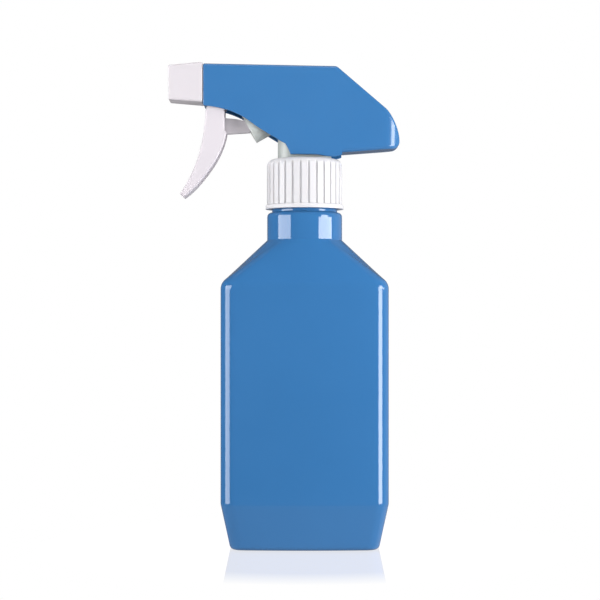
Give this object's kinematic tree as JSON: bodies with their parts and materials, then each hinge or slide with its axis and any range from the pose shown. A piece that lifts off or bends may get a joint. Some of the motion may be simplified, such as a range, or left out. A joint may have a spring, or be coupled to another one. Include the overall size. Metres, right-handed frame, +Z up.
{
  "type": "trigger spray bottle",
  "caption": "Rounded rectangular bottle with a ribbed screw cap and a trigger spray head: twist nozzle, finger lever, tilted piston pump, valves and dip tube.",
  "frame": {"origin": "centre of the bottle's base, on the bottle's axis, in the plane it stands on", "axes": "+Z up along the bottle's axis, -X the way the nozzle sprays, Y across the narrow side"},
  "size_m": [0.1014, 0.044, 0.2126],
  "materials": {
    "bottle_blue": "glossy blow-moulded plastic",
    "shroud_blue": "glossy injection-moulded plastic",
    "cap_white": "satin moulded plastic",
    "trigger_white": "satin moulded plastic",
    "nozzle_white": "satin moulded plastic",
    "pump_natural": "undyed milky plastic",
    "piston_white": "undyed plastic",
    "tube_clear": "translucent tube",
    "gasket_grey": "soft rubber",
    "seal_grey": "soft rubber",
    "spring_steel": "drawn wire",
    "ball_steel": "polished ball"
  },
  "bodies": {
    "bottle": {"bottle": "bottle_blue"},
    "neck_seal": {"neck_gasket": "gasket_grey"},
    "cap": {"closure_cap": "cap_white"},
    "head": {"pump_body": "pump_natural", "tube_holder": "pump_natural", "dip_tube": "tube_clear", "shroud": "shroud_blue", "swirl_insert": "piston_white", "bore_plug": "pump_natural", "nozzle_seal": "seal_grey", "return_spring": "spring_steel", "outlet_spring": "spring_steel"},
    "trigger": {"trigger": "trigger_white"},
    "piston": {"piston": "piston_white", "piston_seal": "seal_grey", "vent_seal": "seal_grey"},
    "nozzle": {"nozzle": "nozzle_white"},
    "inlet_ball": {"inlet_ball": "ball_steel"},
    "outlet_valve": {"outlet_valve": "piston_white"}
  },
  "joints": [
    {"name": "head_rise", "type": "slide", "parent": "bottle", "child": "neck_seal", "axis": [0, 0, 1], "range_m": [0, 0.00635]},
    {"name": "cap_turn", "type": "hinge", "parent": "neck_seal", "child": "cap", "pos_m": [0, 0, 0.16], "axis": [0, 0, 1], "range_deg": [0, 540]},
    {"name": "head_swivel", "type": "hinge", "parent": "neck_seal", "child": "head", "pos_m": [0, 0, 0.1674], "axis": [0, 0, 1], "continuous": true},
    {"name": "trigger_squeeze", "type": "hinge", "parent": "head", "child": "trigger", "pos_m": [-0.0318, 0, 0.2039], "axis": [0, -1, 0], "range_deg": [0, 18], "stiffness_Nm_per_rad": 0.43, "springref_deg": -17.19},
    {"name": "piston_slide", "type": "slide", "parent": "head", "child": "piston", "axis": [0.8746, 0, 0.4848], "range_m": [0, 0.0064], "deforming": ["return_spring"]},
    {"name": "nozzle_turn", "type": "hinge", "parent": "head", "child": "nozzle", "pos_m": [-0.052, 0, 0.2039], "axis": [1, 0, 0], "continuous": true},
    {"name": "inlet_ball_lift", "type": "slide", "parent": "head", "child": "inlet_ball", "axis": [0, 0, 1], "range_m": [0, 0.001]},
    {"name": "outlet_valve_lift", "type": "slide", "parent": "head", "child": "outlet_valve", "axis": [-1, 0, 0], "range_m": [0, 0.0008], "stiffness_N_per_m": 400, "springref_m": -0.002, "deforming": ["outlet_spring"]}
  ],
  "couplings": [
    {"joint": "cap_turn", "follows": "head_rise", "rad_per_m": 1484.3},
    {"joint": "piston_slide", "follows": "trigger_squeeze", "m_per_rad": 0.02}
  ]
}
